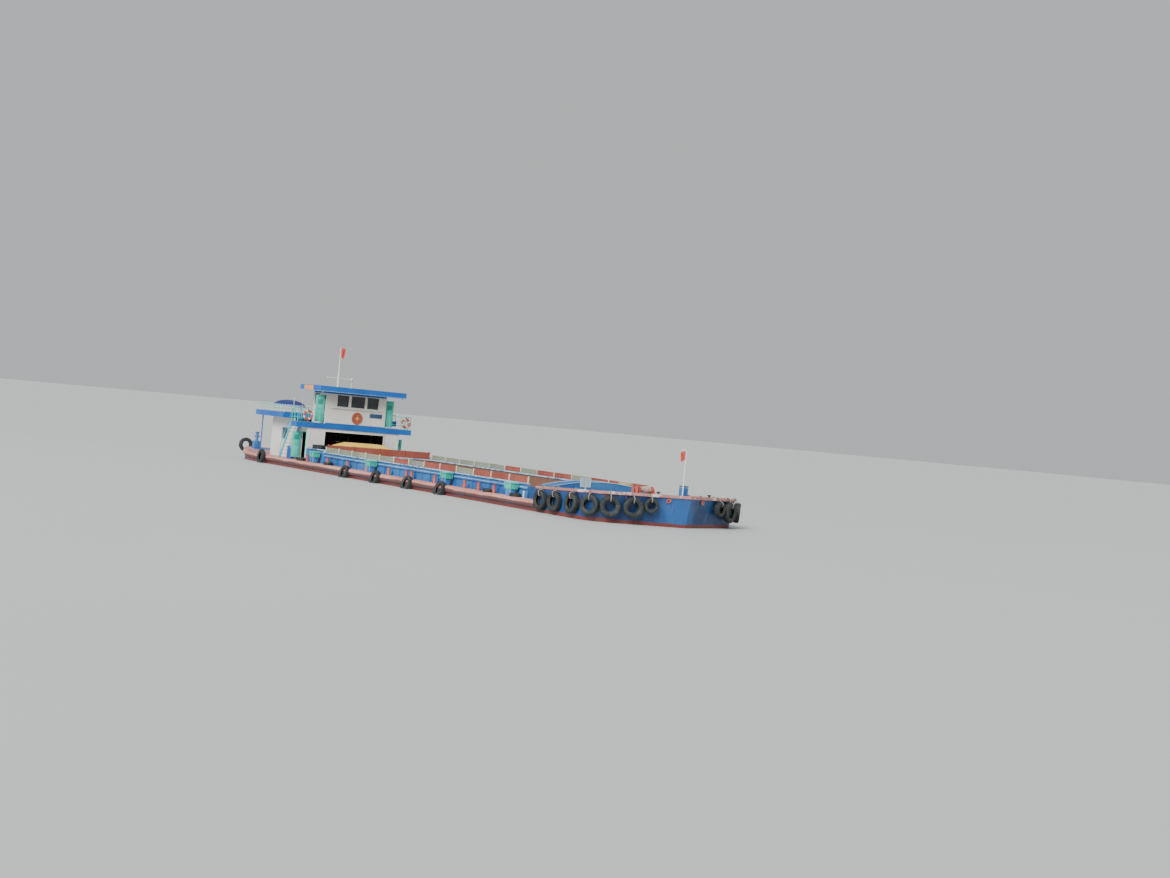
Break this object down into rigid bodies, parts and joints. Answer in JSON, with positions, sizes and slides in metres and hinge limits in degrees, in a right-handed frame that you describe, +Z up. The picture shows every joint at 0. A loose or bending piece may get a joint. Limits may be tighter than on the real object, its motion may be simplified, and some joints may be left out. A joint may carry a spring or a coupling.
{
  "type": "self-propelled hopper river barge, 1:2 scale model",
  "caption": "Self-propelled river barge as a half-size model: open cargo hold, bluff bow hung with tyre fenders, aft deckhouse with a raised wheelhouse.",
  "frame": {"origin": "centre of the bounding box in plan, on the flat bottom of the hull, which is the plane the barge stands on", "axes": "+X towards the bow, +Y to port, +Z up"},
  "size_m": [23.9998, 5.2498, 5.5],
  "materials": {
    "hull_blue": "weathered gloss paint",
    "hold_steel": "worn primer",
    "coaming_blue": "weathered gloss paint",
    "board_brown": "faded red-oxide primer",
    "strake_pink": "faded red-oxide deck paint",
    "tyre_black": "weathered rubber",
    "board_white": "matt paint",
    "windlass_red": "worn paint",
    "rope_tan": "laid fibre rope",
    "mast_white": "weathered paint",
    "wall_white": "weathered paint",
    "fascia_blue": "weathered gloss paint",
    "turquoise": "gloss paint",
    "window_glass": "tinted window glass",
    "canopy_blue": "pleated awning cloth",
    "barrel_blue": "moulded plastic",
    "cover_yellow": "weathered paint",
    "engine_grey": "painted casting",
    "bronze": "cast bronze",
    "oxide_red": "red-oxide anti-fouling paint"
  },
  "bodies": {
    "barge": {"hull_bow": "hull_blue", "hull_stern": "hull_blue", "hull_hold_floor": "hold_steel", "hull_side_starboard": "hull_blue", "hull_side_port": "hull_blue", "coaming_aft": "coaming_blue", "coaming_starboard": "coaming_blue", "coaming_port": "coaming_blue", "washboard_aft": "board_brown", "washboards_starboard": "board_brown", "washboards_port": "board_brown", "fender_strake_starboard": "strake_pink", "fender_strake_port": "strake_pink", "side_deck_fittings_starboard": "strake_pink", "side_deck_fittings_port": "strake_pink", "bow_fenders_starboard": "tyre_black", "bow_fenders_port": "tyre_black", "stern_fenders": "tyre_black", "foredeck_breakwater": "coaming_blue", "foredeck_board": "board_white", "windlass_frame": "windlass_red", "mooring_rope_coil": "rope_tan", "foredeck_locker": "coaming_blue", "bow_lamp_staff": "mast_white", "house_front": "wall_white", "house_aft": "wall_white", "house_side_starboard": "wall_white", "house_side_port": "wall_white", "upper_deck": "fascia_blue", "upper_railing_starboard": "turquoise", "upper_railing_port": "turquoise", "aft_roof": "fascia_blue", "aft_roof_railing": "turquoise", "wheelhouse_front": "wall_white", "wheelhouse_aft": "wall_white", "wheelhouse_side_starboard": "wall_white", "wheelhouse_side_port": "wall_white", "wheelhouse_glass": "window_glass", "wheelhouse_roof": "fascia_blue", "stair": "turquoise", "mast": "mast_white", "roof_lamp_post": "mast_white", "roof_canopy": "canopy_blue", "stern_bollards": "coaming_blue", "deck_barrel": "barrel_blue", "helm_console": "wall_white", "skylight_coaming": "coaming_blue", "engine_starboard": "engine_grey", "engine_port": "engine_grey"},
    "windlass_drum": {"windlass_drum": "windlass_red"},
    "foredeck_locker_lid": {"foredeck_locker_lid": "coaming_blue"},
    "skylight_cover": {"skylight_cover": "cover_yellow"},
    "door_house_starboard": {"door_house_starboard": "turquoise"},
    "door_house_port": {"door_house_port": "turquoise"},
    "door_wheelhouse_starboard": {"door_wheelhouse_starboard": "turquoise"},
    "door_wheelhouse_port": {"door_wheelhouse_port": "turquoise"},
    "propeller_starboard": {"propeller_starboard": "bronze"},
    "propeller_port": {"propeller_port": "bronze"},
    "rudder_starboard": {"rudder_starboard": "oxide_red"},
    "rudder_port": {"rudder_port": "oxide_red"}
  },
  "joints": [
    {"name": "windlass_drum_turn", "type": "hinge", "parent": "barge", "child": "windlass_drum", "pos_m": [10.5, -0.35, 2.07], "axis": [0, 1, 0], "continuous": true},
    {"name": "locker_lid_hinge", "type": "hinge", "parent": "barge", "child": "foredeck_locker_lid", "pos_m": [11.345, 0, 2.24], "axis": [0, -1, 0], "range_deg": [0, 100]},
    {"name": "skylight_cover_hinge", "type": "hinge", "parent": "barge", "child": "skylight_cover", "pos_m": [-6.8, 0, 2.025], "axis": [0, -1, 0], "range_deg": [0, 75]},
    {"name": "house_door_hinge_starboard", "type": "hinge", "parent": "barge", "child": "door_house_starboard", "pos_m": [-7.4325, -1.775, 2.005], "axis": [0, 0, 1], "range_deg": [0, 90]},
    {"name": "house_door_hinge_port", "type": "hinge", "parent": "barge", "child": "door_house_port", "pos_m": [-7.4325, 1.775, 2.005], "axis": [0, 0, -1], "range_deg": [0, 90]},
    {"name": "wheelhouse_door_hinge_starboard", "type": "hinge", "parent": "barge", "child": "door_wheelhouse_starboard", "pos_m": [-7.1075, -1.1625, 3.2775], "axis": [0, 0, -1], "range_deg": [0, 90]},
    {"name": "wheelhouse_door_hinge_port", "type": "hinge", "parent": "barge", "child": "door_wheelhouse_port", "pos_m": [-7.1075, 1.1625, 3.2775], "axis": [0, 0, 1], "range_deg": [0, 90]},
    {"name": "propeller_turn_starboard", "type": "hinge", "parent": "barge", "child": "propeller_starboard", "pos_m": [-10.025, -0.95, 0.4], "axis": [1, 0, 0], "continuous": true},
    {"name": "propeller_turn_port", "type": "hinge", "parent": "barge", "child": "propeller_port", "pos_m": [-10.025, 0.95, 0.4], "axis": [1, 0, 0], "continuous": true},
    {"name": "rudder_turn_starboard", "type": "hinge", "parent": "barge", "child": "rudder_starboard", "pos_m": [-10.65, -0.95, 0.5], "axis": [0, 0, 1], "range_deg": [-35, 35]},
    {"name": "rudder_turn_port", "type": "hinge", "parent": "barge", "child": "rudder_port", "pos_m": [-10.65, 0.95, 0.5], "axis": [0, 0, 1], "range_deg": [-35, 35]}
  ],
  "couplings": [
    {"joint": "rudder_turn_port", "follows": "rudder_turn_starboard", "ratio": 1}
  ]
}
